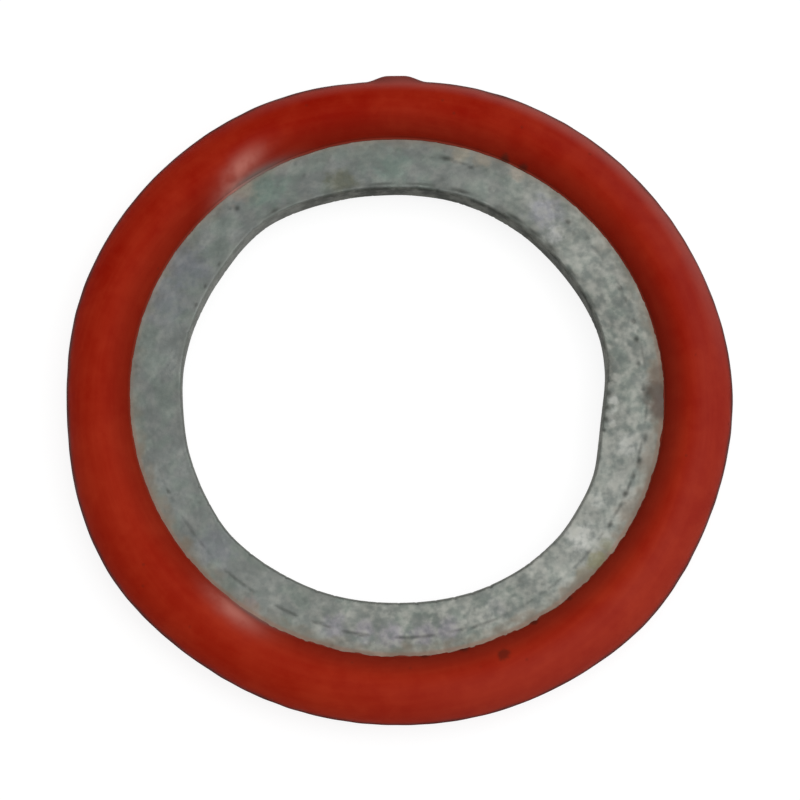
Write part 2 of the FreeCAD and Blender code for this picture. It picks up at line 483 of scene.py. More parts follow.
@dataclass(frozen=True)
class ZincFinish:
    """Dull zinc plate on steel, mottled on one side, with stains, dark pits, bonding agent and painted
    light and shade.
    """

    cool: Colour = rgb(0.133, 0.143, 0.136)
    warm: Colour = rgb(0.164, 0.173, 0.154)
    pale: Colour = rgb(0.290, 0.292, 0.262)
    shade: Colour = rgb(0.088, 0.102, 0.094)
    green: Colour = rgb(0.120, 0.152, 0.128)
    # Dark colour of the dirt in the pits, and of the painted shade on the bore wall.
    grime_and_shade: Colour = rgb(0.034, 0.037, 0.031)
    # The bore wall's colour on its shaded side, then its lit colour; the difference between them is painted
    # shade.
    wall: Colour = rgb(0.165, 0.170, 0.148)
    lit_wall: Colour = rgb(0.250, 0.258, 0.235)
    bonding: Colour = rgb(0.160, 0.128, 0.088)
    rust: Colour = rgb(0.190, 0.098, 0.062)
    reflection_side_deg: float = -28.0
    bonding_side_deg: float = -80.0
    bonding_from_mm: float = 24.40
    bonding_to_mm: float = 25.80
    rust_from_mm: float = 25.45
    rust_to_mm: float = 25.85
    bore_edge_dark_side_deg: float = 112.0
    wall_shade_side_deg: float = 62.0
    bore_mm: float = 21.0
    stains_and_highlights: tuple[ColourPatch, ...] = (
        # Painted highlight: this first broad pale patch stands in for a glossy reflection on the plate.
        ColourPatch(328.0, 23.6, 13.0, rgb(0.270, 0.278, 0.254), 0.42, 0.3),
        ColourPatch(46.0, 23.6, 8.5, rgb(0.235, 0.245, 0.220), 0.38, 0.3),
        ColourPatch(121.5, 24.6, 2.2, rgb(0.105, 0.160, 0.130), 0.60),
        ColourPatch(91.0, 23.2, 1.8, rgb(0.120, 0.180, 0.150), 0.45),
        ColourPatch(104.2, 22.1, 1.7, rgb(0.078, 0.080, 0.050), 0.75),
        *(ColourPatch(turn, 23.8, 1.25, LILAC, 0.45)
          for turn in (255.0, 262.0, 269.0, 276.0, 282.0)),
        ColourPatch(52.0, 23.5, 1.8, rgb(0.225, 0.220, 0.265), 0.50),
        ColourPatch(45.8, 22.3, 0.9, rgb(0.380, 0.380, 0.370), 0.55, 0.9),
        # Painted highlights: three pale spots on the bore edge beside the nicks.
        ColourPatch(358.5, 21.0, 0.5, BORE_EDGE_GLINT, 0.60, 0.8),
        ColourPatch(355.5, 21.0, 0.5, BORE_EDGE_GLINT, 0.50, 0.8),
        ColourPatch(352.5, 21.1, 0.5, BORE_EDGE_GLINT, 0.50, 0.8),
        ColourPatch(4.5, 20.75, 0.7, SOOTY, 0.75),
        ColourPatch(7.0, 20.85, 0.7, SOOTY, 0.70),
        ColourPatch(10.0, 20.95, 0.6, SOOTY, 0.60),
        ColourPatch(148.0, 24.2, 2.4, rgb(0.128, 0.135, 0.162), 0.50),
        ColourPatch(158.0, 24.3, 2.2, rgb(0.128, 0.135, 0.160), 0.40),
        # Painted glints: these two pinkish patches on the steel at the rubber's foot carry on the bead's
        # painted glints.
        ColourPatch(126.0, 26.0, 1.7, rgb(0.260, 0.180, 0.145), 0.40),
        ColourPatch(236.0, 26.0, 1.4, rgb(0.230, 0.135, 0.125), 0.45),
        ColourPatch(221.0, 23.4, 2.2, rgb(0.130, 0.132, 0.158), 0.40),
        ColourPatch(75.5, 25.3, 1.1, TANNED, 0.55),
        ColourPatch(70.5, 25.3, 1.0, TANNED, 0.55),
        ColourPatch(62.0, 25.4, 0.9, rgb(0.270, 0.220, 0.180), 0.50),
        ColourPatch(321.5, 22.5, 1.7, rgb(0.400, 0.400, 0.375), 0.60),
        ColourPatch(347.0, 23.0, 1.3, SCUFFED, 0.50),
        ColourPatch(331.0, 22.2, 1.0, SCUFFED, 0.45),
        ColourPatch(294.0, 23.2, 1.2, rgb(0.260, 0.255, 0.250), 0.45),
    )
    smears: tuple[ColourPatch, ...] = (
        ColourPatch(323.5, 25.2, 0.8, rgb(0.150, 0.145, 0.085), 0.55),
        ColourPatch(319.2, 25.4, 1.0, rgb(0.145, 0.135, 0.066), 0.70),
        ColourPatch(315.0, 25.4, 0.9, rgb(0.155, 0.130, 0.085), 0.55),
        ColourPatch(333.0, 25.8, 1.7, BROWNED, 0.45),
        ColourPatch(345.0, 25.8, 1.8, BROWNED, 0.45),
        ColourPatch(0.8, 25.3, 1.5, rgb(0.046, 0.028, 0.018), 0.78, 0.25),
        ColourPatch(357.0, 25.5, 1.4, rgb(0.062, 0.036, 0.025), 0.70, 0.25),
        ColourPatch(4.6, 25.5, 1.1, rgb(0.095, 0.062, 0.042), 0.60, 0.3),
    )

    def dress(self, effects: Effects) -> bpy.types.Material:
        """Makes the material.

        Args:
            effects: The shared node groups.

        Returns:
            The material.
        """
        material = bpy.data.materials.new("zinc_plate")
        ground = Ground.lay(material, effects)
        wiring, place = ground.wiring, ground.place
        bonded, rusty = self.bonding_masks(ground)
        colour = wiring.blend(bonded, self.plate(ground), self.bonding)
        colour = wiring.blend(rusty, colour, self.rust)
        for smear in self.smears:
            colour = smear.lay(ground, colour)
        colour, dirt = self.darken_pits_and_shade_wall(ground, colour)
        shader = wiring.add("BsdfPrincipled", {"Base Color": colour})
        wiring.feed(shader.inputs["Specular IOR Level"], wiring.span(dirt, 0.0, 1.0, 0.5, 0.06))
        covered = wiring.reckon("MAXIMUM", bonded, dirt)
        wiring.feed(shader.inputs["Metallic"], wiring.span(covered, 0.0, 1.0, 0.65, 0.10))
        sheen = wiring.noise(place, 420.0, 4.0, 0.6)
        roughness = wiring.span(sheen, 0.25, 0.75, 0.36, 0.52)
        wiring.feed(shader.inputs["Roughness"], wiring.plus(roughness, wiring.times(dirt, 0.2)))
        grain = wiring.noise(place, 2600.0, 3.0, 0.6)
        rolled = wiring.noise(place, 700.0, 3.0, 0.55)
        height = wiring.plus(wiring.times(grain, 0.35), rolled)
        bump = wiring.add("Bump", {"Strength": 0.35, "Distance": 0.00006, "Height": height})
        wiring.feed(shader.inputs["Normal"], bump.outputs[0])
        wiring.add("OutputMaterial", {"Surface": shader.outputs[0]})
        return material

    def plate(self, ground: Ground) -> Socket:
        """Works out the colour of the plate, cloudy and stained, lighter on one side as a painted
        reflection, with a mottle that grows on that side.

        Args:
            ground: What the finish is worked out from.

        Returns:
            The colour.
        """
        wiring, place = ground.wiring, ground.place
        # Painted reflection: the tone grows lighter towards one side of the ring, and the mottle shows more
        # there.
        side = wiring.side(ground.ring["Aim"], self.reflection_side_deg, -0.75, 0.85)
        tone = wiring.blend(side, self.cool, self.warm)
        clouds = wiring.span(wiring.noise(place, 330.0, 2.0, 0.5), 0.30, 0.65)
        colour = wiring.coat(tone, self.shade, clouds, 0.30)
        tinge = wiring.span(wiring.noise(place, 520.0, 1.0, 0.5), 0.42, 0.62)
        colour = wiring.coat(colour, self.green, tinge, 0.45)
        for laid_patch in self.stains_and_highlights:
            colour = laid_patch.lay(ground, colour)
        coarse = wiring.times(wiring.noise(place, 720.0, 1.0, 0.5), 0.55)
        fine = wiring.times(wiring.noise(place, 1700.0, 2.0, 0.5), 0.45)
        mottle = wiring.plus(coarse, fine)
        light, dark = wiring.span(mottle, 0.43, 0.72), wiring.span(mottle, 0.55, 0.30)
        colour = wiring.coat(colour, self.pale, light, wiring.span(side, 0.2, 1.0, 0.22, 0.74))
        return wiring.coat(colour, self.shade, dark, wiring.span(side, 0.2, 1.0, 0.35, 0.72))

    def bonding_masks(self, ground: Ground) -> tuple[Socket, Socket]:
        """Works out where the bonding agent shows next to the rubber.

        Args:
            ground: What the finish is worked out from.

        Returns:
            How much of it there is, and how brown it is at the rubber.
        """
        wiring, place, ring = ground.wiring, ground.place, ground.ring
        cloud = wiring.reckon("SUBTRACT", wiring.noise(place, 650.0, 2.0, 0.5), 0.5)
        moved = wiring.plus(ring["Radius"], wiring.times(cloud, 2.2))
        side = wiring.side(ring["Aim"], self.bonding_side_deg, -0.35, 0.2)
        thin = wiring.span(wiring.noise(place, 480.0, 2.0, 0.5), 0.38, 0.60, 0.35, 1.0)
        most = wiring.times(wiring.span(side, 0.0, 1.0, 0.25, 0.85), thin)
        bonded = wiring.span(moved, self.bonding_from_mm, self.bonding_to_mm, 0.0, most)
        near = wiring.span(ring["Radius"], self.rust_from_mm, self.rust_to_mm, 0.0, 0.60)
        return bonded, wiring.times(near, wiring.span(side, 0.0, 1.0, 0.4, 1.0))

    def darken_pits_and_shade_wall(self, ground: Ground, colour: Socket) -> tuple[Socket, Socket]:
        """Darkens the pits, the shut-off line and the bore edge, and lays painted shade on the bore wall.

        Args:
            ground: What the finish is worked out from.
            colour: Colour of the clean plate.

        Returns:
            The dirty colour, and how dirty it is.
        """
        wiring, place, ring = ground.wiring, ground.place, ground.ring
        across = wiring.reading("across")
        # Near the bore edge, towards the top and a little left, a cloudy band over a millimetre wide takes
        # the bore wall's colour, painted shade included.
        cloud = wiring.span(wiring.noise(place, 620.0, 2.0, 0.5), 0.36, 0.62, 0.10, 1.0)
        share = wiring.span(wiring.side(ring["Aim"], self.bore_edge_dark_side_deg, -0.2, 0.6), 0.0, 1.0, 0.22, 0.44)
        near_bore = wiring.span(across, self.bore_mm + 1.15, self.bore_mm + 0.15)
        bore_edge_band = wiring.times(wiring.times(cloud, share), near_bore)
        on_wall = wiring.reckon("MAXIMUM", bore_edge_band, wiring.span(across, self.bore_mm + 0.24, self.bore_mm))
        specks = wiring.group(ground.effects.specks, {"Place": place, "Cells": 1100.0, "Share": 0.10,
                                                      "Grain": 0.42}).outputs["Mask"]
        pitting = wiring.reading("pitting")
        spots = wiring.reckon("MAXIMUM", pitting, wiring.times(specks, 0.20))
        colour = wiring.blend(spots, colour, self.grime_and_shade)
        # Painted shade: the bore wall is darker and cloudier towards the upper right and lighter elsewhere.
        wall_shade_cloud = wiring.span(wiring.noise(place, 600.0, 4.0, 0.6), 0.34, 0.62)
        wall_shade_side = wiring.side(ring["Aim"], self.wall_shade_side_deg, 0.35, 0.90)
        wall = wiring.blend(wall_shade_side, self.lit_wall, self.wall)
        wall = wiring.coat(wall, self.grime_and_shade, wall_shade_cloud, wiring.span(wall_shade_side, 0.0, 1.0, 0.35, 0.90))
        colour = wiring.coat(colour, wall, on_wall, 0.88)
        return colour, wiring.reckon("MAXIMUM", spots, on_wall)


@dataclass(frozen=True)
class RubberFinish:
    """Red moulded rubber with faint streaks and a few specks, painted lighter on one side, with painted
    sheen, shade and glints.
    """

    deep: Colour = rgb(0.268, 0.0055, 0.0006)
    bright: Colour = rgb(0.360, 0.0240, 0.0075)
    # Dark colour for the foot's painted shade and for the dark specks.
    foot_shade_and_specks: Colour = rgb(0.135, 0.0160, 0.0080)
    edge: Colour = rgb(0.150, 0.0480, 0.0300)
    glint_tint: Colour = rgb(0.530, 0.1900, 0.1500)
    # Pale tint of the painted sheen.
    sheen_tint: Colour = rgb(0.450, 0.2500, 0.2200)
    grey_glint_tint: Colour = rgb(0.190, 0.170, 0.152)
    # Dark colour of the painted shade round the bead's outermost line.
    grime_and_shade: Colour = rgb(0.034, 0.0120, 0.0100)
    painted_light_side_deg: float = 265.0
    foot_shade_side_deg: float = 320.0
    sheen_side_deg: float = 64.0
    faint_sheen_side_deg: float = 345.0
    foot_shade_from_mm: float = 29.0
    foot_shade_to_mm: float = 26.6
    edge_from_mm: float = 26.25
    edge_to_mm: float = 25.80
    sheen_from_mm: float = 30.3
    sheen_to_mm: float = 31.9
    faint_sheen_from_mm: float = 28.0
    faint_sheen_to_mm: float = 30.2
    blots: tuple[ColourPatch, ...] = (
        ColourPatch(291.1, 28.1, 0.65, rgb(0.070, 0.011, 0.006), 0.60, 0.5),
        ColourPatch(284.0, 26.0, 0.55, BLOTTED, 0.75, 0.3),
        ColourPatch(275.5, 25.9, 0.50, BLOTTED, 0.60, 0.3),
        ColourPatch(300.0, 26.1, 0.45, BLOTTED, 0.65, 0.3),
        ColourPatch(309.0, 26.1, 0.40, BLOTTED, 0.60, 0.3),
        ColourPatch(66.0, 26.0, 0.60, DINGY, 0.65, 0.3),
        ColourPatch(61.5, 26.0, 0.50, DINGY, 0.60, 0.3),
    )

    def dress(self, effects: Effects) -> bpy.types.Material:
        """Makes the material.

        Args:
            effects: The shared node groups.

        Returns:
            The material.
        """
        material = bpy.data.materials.new("red_rubber")
        ground = Ground.lay(material, effects)
        wiring, place, ring = ground.wiring, ground.place, ground.ring
        streaks = wiring.span(wiring.noise(ring["Swept"], 900.0, 3.0, 0.6), 0.35, 0.68)
        clouds = wiring.span(wiring.noise(place, 170.0, 3.0, 0.55, 0.3), 0.34, 0.68)
        mottle = wiring.span(wiring.noise(place, 480.0, 3.0, 0.6), 0.36, 0.64)
        share = wiring.plus(wiring.times(clouds, 0.40), wiring.times(streaks, 0.18))
        share = wiring.plus(share, wiring.times(mottle, 0.22))
        # Painted light: the rubber is painted lighter towards the bottom of the ring.
        painted_light = wiring.side(ring["Aim"], self.painted_light_side_deg, -0.8, 0.8)
        share = wiring.plus(share, wiring.times(painted_light, 0.35))
        colour = wiring.blend(share, self.deep, self.bright)
        # Painted shade: the foot, in the crease where the bead meets the steel, is darkened, more towards
        # the lower right.
        foot = wiring.span(ring["Radius"], self.foot_shade_from_mm, self.foot_shade_to_mm)
        most = wiring.span(wiring.side(ring["Aim"], self.foot_shade_side_deg, 0.0, 0.8), 0.0, 1.0, 0.32, 0.50)
        colour = wiring.coat(colour, self.foot_shade_and_specks, foot, most)
        edge = wiring.span(ring["Radius"], self.edge_from_mm, self.edge_to_mm)
        colour = wiring.coat(colour, self.edge, edge, 0.70)
        # Painted sheen: a pale veil on the outer part of the bead towards the upper right.
        painted_sheen = wiring.times(wiring.side(ring["Aim"], self.sheen_side_deg, 0.40, 1.0),
                             wiring.span(ring["Radius"], self.sheen_from_mm, self.sheen_to_mm))
        colour = wiring.coat(colour, self.sheen_tint, painted_sheen, 0.23)
        # Painted sheen: a faint pale veil on the outer half of the bead towards the lower right.
        faint_sheen = wiring.times(wiring.side(ring["Aim"], self.faint_sheen_side_deg, -0.1, 0.8),
                            wiring.span(ring["Radius"], self.faint_sheen_from_mm, self.faint_sheen_to_mm))
        colour = wiring.coat(colour, self.sheen_tint, faint_sheen, 0.045)
        # Painted shade: a dark band round the bead's outermost line.
        colour = wiring.coat(colour, self.grime_and_shade, wiring.reading("rim"), 0.80)
        # Real dark specks in the rubber take the same dark colour.
        dark = wiring.group(effects.specks, {"Place": place, "Cells": 900.0, "Share": 0.07, "Grain": 0.24})
        colour = wiring.coat(colour, self.foot_shade_and_specks, dark.outputs[0], 0.5)
        for blot in self.blots:
            colour = blot.lay(ground, colour)
        # Painted glints: pale patches on the bead's inner flank, greying where they reach the foot.
        painted_glint = wiring.times(wiring.reading("painted_glint"),
                              wiring.span(wiring.noise(place, 600.0, 2.0, 0.5), 0.30, 0.60, 0.55, 1.0))
        colour = wiring.blend(painted_glint, colour, self.glint_tint)
        colour = wiring.blend(wiring.reading("grey_glint"), colour, self.grey_glint_tint)
        shader = wiring.add("BsdfPrincipled", {"Base Color": colour, "Specular IOR Level": 0.025})
        roughness = wiring.span(wiring.noise(place, 350.0, 4.0, 0.6), 0.3, 0.7, 0.54, 0.66)
        wiring.feed(shader.inputs["Roughness"], wiring.plus(roughness, wiring.times(painted_glint, 0.15)))
        skin = wiring.noise(place, 1900.0, 3.0, 0.6)
        drawn = wiring.noise(ring["Swept"], 1500.0, 3.0, 0.6)
        height = wiring.plus(skin, drawn)
        bump = wiring.add("Bump", {"Strength": 0.20, "Distance": 0.00004, "Height": height})
        wiring.feed(shader.inputs["Normal"], bump.outputs[0])
        wiring.add("OutputMaterial", {"Surface": shader.outputs[0]})
        return material


@dataclass(frozen=True)
class FloorFinish:
    """Pale matt paper that shows as white and keeps soft shadows."""

    tone: Colour = rgb(0.20, 0.20, 0.20)
    bounce: Colour = rgb(0.70, 0.70, 0.70)
    lift: float = 0.86

    def dress(self) -> bpy.types.Material:
        """Makes the material.

        Camera, glossy and transmission rays see a dim shade plus a constant lift, which leaves soft
        shadows on white. Other rays see plain pale paper, which throws light back on the gasket.

        Returns:
            The material.
        """
        material = bpy.data.materials.new("white_paper")
        material.use_nodes = True
        wiring = Wiring(material.node_tree)
        path = wiring.add("LightPath").outputs
        seen = wiring.reckon("MAXIMUM", path["Is Camera Ray"], path["Is Glossy Ray"])
        seen = wiring.reckon("MAXIMUM", seen, path["Is Transmission Ray"])
        paper = wiring.add("BsdfDiffuse", {"Color": wiring.blend(seen, self.bounce, self.tone)}).outputs[0]
        glow = wiring.add("Emission", {"Strength": wiring.times(seen, self.lift)}).outputs[0]
        both = wiring.add("AddShader", {0: paper, 1: glow}).outputs[0]
        wiring.add("OutputMaterial", {"Surface": both})
        return material


@dataclass(frozen=True)
class Mark:
    """A small dent in the plate with dark dirt in it, longer along the ring than across it."""

    turn_deg: float
    radius_mm: float
    length_mm: float
    width_mm: float
    dark: float
    depth_mm: float = 0.05

    def press(self, turns: np.ndarray, radii: np.ndarray) -> np.ndarray:
        """Works out how much of the dent each grid point has.

        It is exp(-(u / length)^2 - (v / width)^2), with u along the ring and v across it.

        Args:
            turns: Angles round the bore, as a column.
            radii: Distances from the bore axis, as a row.

        Returns:
            A grid of shares from 0 to 1.
        """
        along = turn_gap(turns, self.turn_deg) * self.radius_mm
        across = radii / MM - self.radius_mm
        return bell(along, self.length_mm) * bell(across, self.width_mm)


@dataclass(frozen=True)
class Rise:
    """A stretch of the ring over which something rises from nothing and falls off again."""

    turn_deg: float
    spread_deg: float
    height: float

    def at(self, turns: np.ndarray) -> np.ndarray:
        """Returns height * exp(-(gap / spread)^2), with gap the angle from each turn to the middle."""
        return self.height * bell(turn_gap(turns, self.turn_deg), math.radians(self.spread_deg))


@dataclass
class SteelRing:
    """The flat steel ring, blanked from plate, with the mould's shut-off line pressed in each face."""

    bore: float
    rim: float
    half: float
    toe: float
    witness_inset: float = 1.72 * MM
    witness_offset: float = 0.19 * MM
    witness_wander: float = 0.045 * MM
    witness_width: float = 0.13 * MM
    witness_depth: float = 0.05 * MM
    witness_least: float = 0.06
    witness_dark: float = 0.58
    edge_break: float = 0.28 * MM
    swell_reach: float = 2.5 * MM
    waviness: float = 0.020 * MM
    grain: float = 0.008 * MM
    mark_dark: float = 0.80
    nick_reach: float = 0.32 * MM
    nick_depth: float = 0.07 * MM
    around: int = 1100
    swellings_mm: tuple[Rise, ...] = (
        Rise(353.0, 16.0, -0.98),
        Rise(328.0, 8.0, -0.16),
        Rise(38.0, 18.0, -0.22),
        Rise(92.0, 10.0, -0.14),
        Rise(126.0, 14.0, 0.60),
        Rise(184.0, 10.0, -0.20),
        Rise(221.0, 12.0, 0.32),
        Rise(272.0, 20.0, -0.34),
    )
    marks: tuple[Mark, ...] = (
        Mark(0.3, 21.30, 0.34, 0.26, 1.00, 0.09),
        Mark(1.5, 23.95, 0.22, 0.18, 0.45),
        Mark(7.8, 23.70, 0.25, 0.20, 0.45),
        Mark(13.5, 24.05, 0.34, 0.26, 0.85),
        Mark(18.0, 24.25, 0.26, 0.20, 0.55),
        Mark(26.5, 24.35, 0.30, 0.20, 0.50),
        Mark(27.0, 21.34, 1.20, 0.18, 0.65),
        Mark(36.0, 21.34, 1.00, 0.20, 0.80),
        Mark(40.5, 24.55, 0.32, 0.18, 0.40),
        Mark(44.5, 21.38, 0.70, 0.24, 0.85),
        Mark(46.3, 24.30, 0.36, 0.24, 0.75),
        Mark(51.0, 21.35, 0.90, 0.22, 0.95),
        Mark(57.0, 21.38, 1.30, 0.24, 0.90),
        Mark(72.5, 24.25, 0.32, 0.16, 0.45),
        Mark(73.0, 21.60, 0.90, 0.24, 0.80),
        Mark(78.5, 24.50, 0.60, 0.24, 0.90),
        Mark(84.0, 21.55, 1.30, 0.12, 0.40),
        Mark(94.0, 21.55, 1.20, 0.12, 0.40),
        Mark(122.8, 21.60, 0.50, 0.38, 0.70),
        Mark(129.8, 24.45, 0.27, 0.25, 0.80),
        Mark(143.0, 21.70, 0.26, 0.18, 0.50),
        Mark(150.0, 21.60, 0.22, 0.18, 0.60),
        Mark(155.5, 21.55, 0.20, 0.20, 0.55),
        Mark(203.7, 24.25, 0.32, 0.16, 0.60),
        Mark(251.8, 23.90, 0.48, 0.14, 0.38),
        Mark(261.5, 24.15, 0.42, 0.13, 0.40),
        Mark(277.0, 24.10, 0.60, 0.14, 0.55),
        Mark(287.5, 24.15, 0.38, 0.13, 0.35),
        Mark(319.5, 24.15, 0.32, 0.18, 0.50),
        Mark(327.8, 24.25, 0.32, 0.20, 0.60),
        Mark(335.9, 24.15, 0.36, 0.25, 0.90),
        Mark(340.5, 24.25, 0.26, 0.20, 0.55),
        Mark(344.3, 24.35, 0.36, 0.25, 0.95),
        Mark(349.8, 24.45, 0.46, 0.22, 0.70),
        Mark(350.0, 21.28, 0.20, 0.18, 1.00, 0.09),
        Mark(353.1, 21.30, 0.34, 0.28, 1.00, 0.09),
        Mark(356.5, 21.30, 0.34, 0.28, 1.00, 0.09),
    )
    line_places: tuple[Rise, ...] = (
        Rise(268.0, 38.0, 0.75),
        Rise(340.0, 22.0, 0.50),
        Rise(25.0, 32.0, 0.35),
        Rise(76.0, 7.0, 0.40),
        Rise(225.0, 24.0, 0.30),
    )

    def section(self) -> tuple[np.ndarray, np.ndarray, np.ndarray]:
        """Works out the ring's section, anticlockwise from the foot of its rim.

        The faces are straight, and each bore edge is a quarter circle of radius edge_break.

        Returns:
            Radius, height, and the share of each point's height that is face, from 0 on the bore wall
            and rim to 1 on the faces, with the face's sign.
        """
        tuck = 0.05 * MM
        buried = np.array([self.rim - tuck, self.toe + 1.0 * MM, self.toe + 0.35 * MM])
        shown = np.linspace(self.toe + 0.1 * MM, self.bore + self.edge_break, 44)
        plain = np.linspace(self.toe + 0.1 * MM, self.bore + self.edge_break, 16)
        corner = np.radians(np.linspace(90.0, 180.0, 6))[1:]
        centre = self.bore + self.edge_break
        curve_r = centre + self.edge_break * np.cos(corner)
        curve_z = self.half - self.edge_break + self.edge_break * np.sin(corner)
        wall_z = np.linspace(curve_z[-1], -curve_z[-1], 9)[1:-1]
        upper_r = np.concatenate([buried, shown, curve_r])
        upper_z = np.concatenate([np.full(buried.size + shown.size, self.half), curve_z])
        groove = self.toe - self.witness_inset + np.array([-0.15, -0.08, 0.0, 0.08, 0.15]) * MM
        plain = np.sort(np.concatenate([plain, groove]))[::-1]
        lower_r = np.concatenate([buried, plain, curve_r])[::-1]
        lower_z = -np.concatenate([np.full(buried.size + plain.size, self.half), curve_z])[::-1]
        rim_z = np.array([-self.half + tuck, self.half - tuck])
        radii = np.concatenate([np.full(2, self.rim), upper_r, np.full(wall_z.size, self.bore), lower_r])
        heights = np.concatenate([rim_z, upper_z, wall_z, lower_z])
        face = np.where(np.abs(heights) > self.half - 1e-9, np.sign(heights), 0.0)
        return radii, heights, face

    def build(self, finish: ZincFinish, effects: Effects) -> bpy.types.Object:
        """Makes the ring and dresses it.

        Args:
            finish: Its finish.
            effects: The shared node groups.

        Returns:
            The piece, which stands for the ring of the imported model.
        """
        turns = np.linspace(0.0, 2.0 * math.pi, self.around, endpoint=False)
        flat_r, flat_z, face = self.section()
        column = turns[:, None]
        radii = np.broadcast_to(flat_r, (self.around, flat_r.size)).copy()
        heights = np.broadcast_to(flat_z, radii.shape).copy()
        clear = 1.0 - smooth_step(flat_r, self.toe - 0.5 * MM, self.toe)
        bare = smooth_step(flat_r, self.bore + self.edge_break, self.bore + self.edge_break + 0.4 * MM)
        bare = bare * clear * np.abs(face)
        sunk, dark = self.dents(column, flat_r)
        line, line_dark = self.witness(column, flat_r)
        heights -= face * bare * (sunk + line)
        self.wear_bore_edge(column, flat_r, flat_z, radii, heights)
        swell = MM * sum(swelling.at(turns) for swelling in self.swellings_mm)
        radii += swell[:, None] * (1.0 - smooth_step(flat_r, self.bore, self.bore + self.swell_reach))
        piece = ring_mesh("steel_ring_skin", radii, heights, turns)
        mark_points(piece, "pitting", np.maximum(dark, line_dark) * clear)
        mark_points(piece, "across", np.broadcast_to(flat_r / MM, radii.shape))
        piece.data.materials.append(finish.dress(effects))
        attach(piece, "root")
        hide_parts("steel_ring")
        return piece

    def dents(self, turns: np.ndarray, radii: np.ndarray) -> tuple[np.ndarray, np.ndarray]:
        """Adds the marks to the plate's slow unevenness.

        Args:
            turns: Angles round the bore, as a column.
            radii: Distances from the bore axis, as a row.

        Returns:
            The depth at each grid point, and how dark it is.
        """
        swell = 0.5 + 0.25 * ripple(turns, radii, 2.5 * MM, 40, 21)
        grain = 0.5 + 0.25 * ripple(turns, radii, 0.45 * MM, 60, 22)
        sunk = np.clip(swell, 0.0, 1.0) * self.waviness + np.clip(grain, 0.0, 1.0) * self.grain
        dark = np.zeros(sunk.shape)
        for mark in self.marks:
            share = mark.press(turns, radii)
            sunk = np.maximum(sunk, mark.depth_mm * MM * share)
            dark = np.maximum(dark, mark.dark * share)
        return sunk, dark * self.mark_dark

    def witness(self, turns: np.ndarray, radii: np.ndarray) -> tuple[np.ndarray, np.ndarray]:
        """Works out the shut-off line, which wanders a little and fades in and out.

        Its depth is witness_depth * strength * exp(-((radius - middle) / width)^2). The mould sat a
        little off centre, so the middle moves by witness_offset * sin(turn).

        Args:
            turns: Angles round the bore, as a column.
            radii: Distances from the bore axis, as a row.

        Returns:
            The depth at each grid point, and how dark it is.
        """
        flat = turns[:, 0]
        middle = self.toe - self.witness_inset + self.witness_offset * np.sin(flat)
        middle += self.witness_wander * waver(flat, 3, 26, 9, 31)
        patchy = 0.8 * waver(flat, 12, 50, 12, 32) + 0.6 * waver(flat, 60, 150, 18, 33)
        clear = self.witness_least + sum(place.at(flat) for place in self.line_places)
        strength = (smooth_step(patchy, -1.3, 1.2) * clear)[:, None]
        near = bell(radii - middle[:, None], self.witness_width)
        return self.witness_depth * strength * near, self.witness_dark * strength * near

    def wear_bore_edge(self, turns: np.ndarray, flat_r: np.ndarray, flat_z: np.ndarray,
                       radii: np.ndarray, heights: np.ndarray) -> None:
        """Moves the bore's edges in and down by small uneven nicks, in place.

        A nick draws back points within a millimetre of the corner, by at most about 0.1 mm.

        Args:
            turns: Angles round the bore, as a column.
            flat_r: Radii of the plain section.
            flat_z: Heights of the plain section.
            radii: Radii to change.
            heights: Heights to change.
        """
        flat = turns[:, 0]
        for side, seed in ((Side.UPPER, 41), (Side.LOWER, 44)):
            corner = np.hypot(flat_r - self.bore, flat_z - side.value * self.half)
            near = bell(corner, self.nick_reach)[None, :]
            slow = 0.35 + 0.25 * waver(flat, 4, 30, 12, seed)
            nick = smooth_step(waver(flat, 50, 260, 30, seed + 1), 0.8, 2.4)
            worn = np.clip(slow + nick, 0.0, 1.6)[:, None] * near * self.nick_depth
            radii += worn
            heights -= side.value * worn * 0.6


@dataclass(frozen=True)
class GlintPlace:
    """A painted glint on the bead's flank."""

    turn_deg: float
    flank_deg: float
    length_mm: float
    width_mm: float
    slant: float
    strength: float


